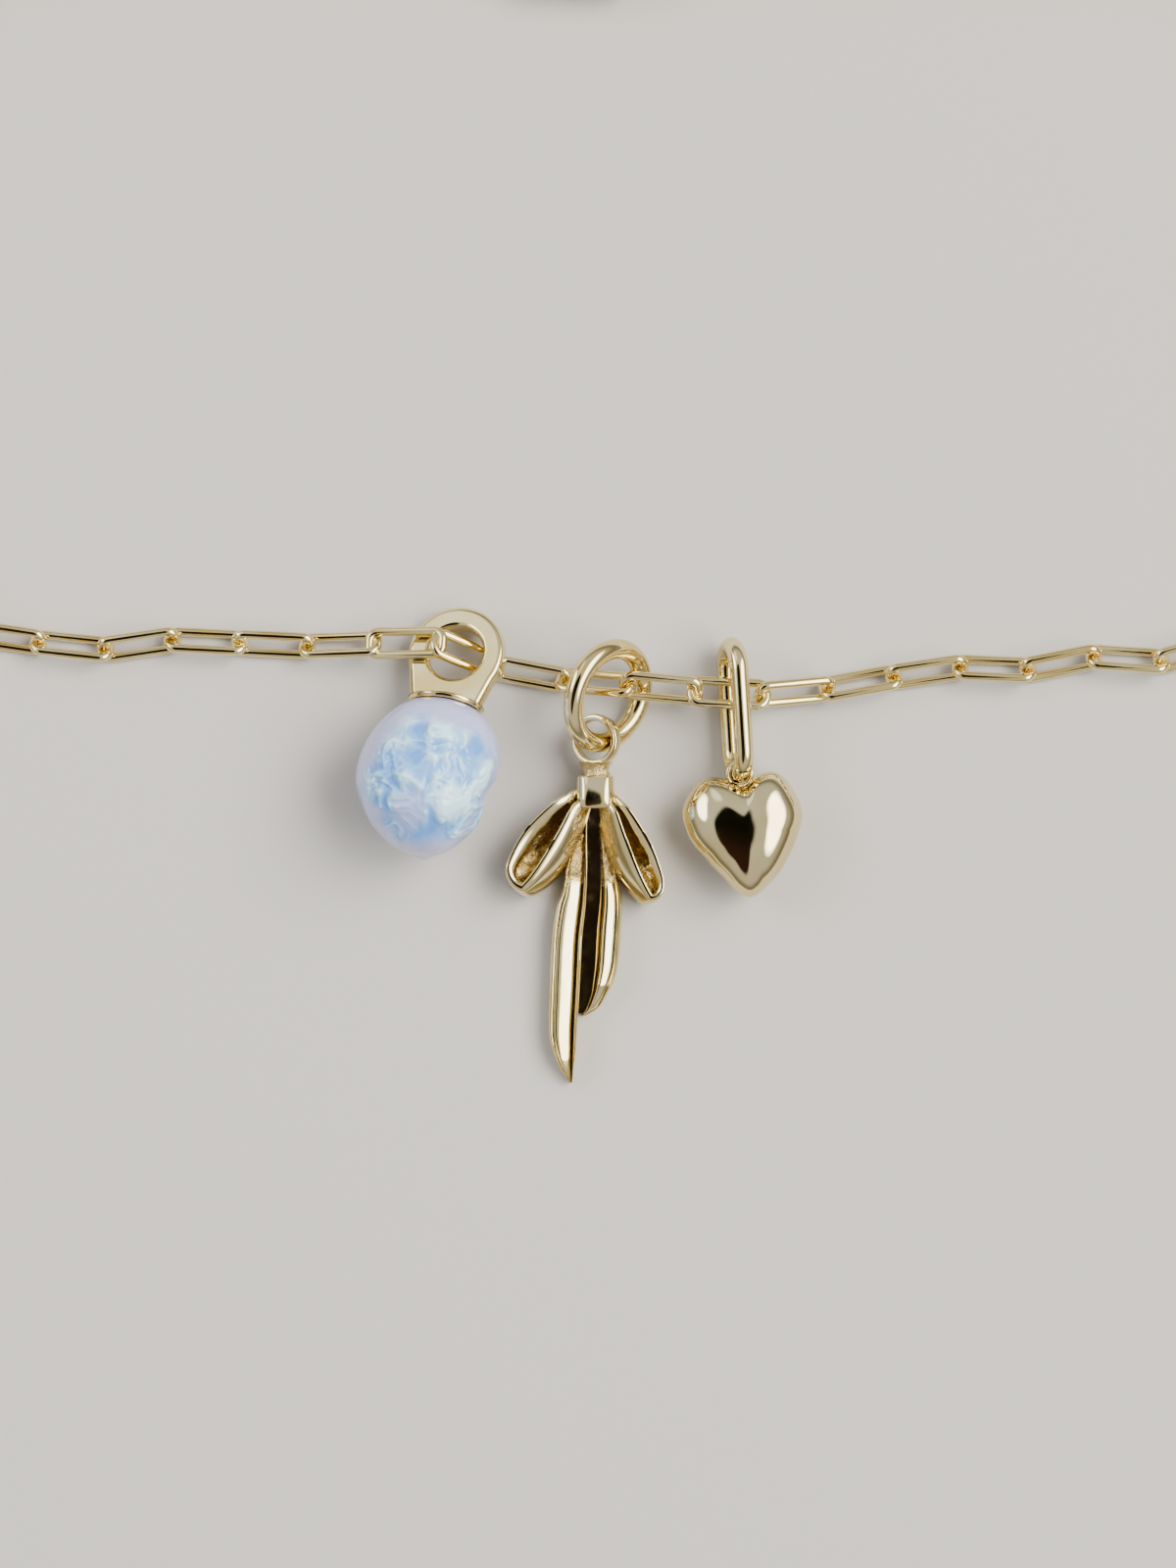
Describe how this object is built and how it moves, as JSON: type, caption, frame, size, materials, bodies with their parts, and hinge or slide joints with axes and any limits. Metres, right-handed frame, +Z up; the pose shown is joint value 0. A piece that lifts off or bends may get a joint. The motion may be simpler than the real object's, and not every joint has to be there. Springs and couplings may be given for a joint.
{
  "type": "charm bracelet",
  "caption": "Cable chain bracelet lying closed in a loop, with a pearl on a flat ring bail, a ribbon bow on a jump ring and a puffed heart on an oval bail.",
  "frame": {"origin": "middle of the bracelet's footprint, on the surface that it rests on", "axes": "+X along the front stretch of the chain to the right, +Y from the charms towards the clasp, +Z up"},
  "size_m": [0.0682, 0.0572, 0.0067],
  "materials": {
    "chain_gold": "drawn brass wire, pale gold plate, bright",
    "charm_gold": "pale gold plate, polished",
    "cast_gold": "cast brass, pale gold plate, polished outside and rough in the loops",
    "mirror_gold": "pale gold plate, mirror polished",
    "nacre": "baroque pearl, blue-white satin nacre"
  },
  "bodies": {
    "root": {"chain": "chain_gold", "clasp": "charm_gold", "pearl_bail": "charm_gold", "pearl": "nacre", "bow_jump_ring": "charm_gold", "bow": "cast_gold", "heart_bail": "charm_gold", "heart": "mirror_gold"}
  },
  "joints": []
}
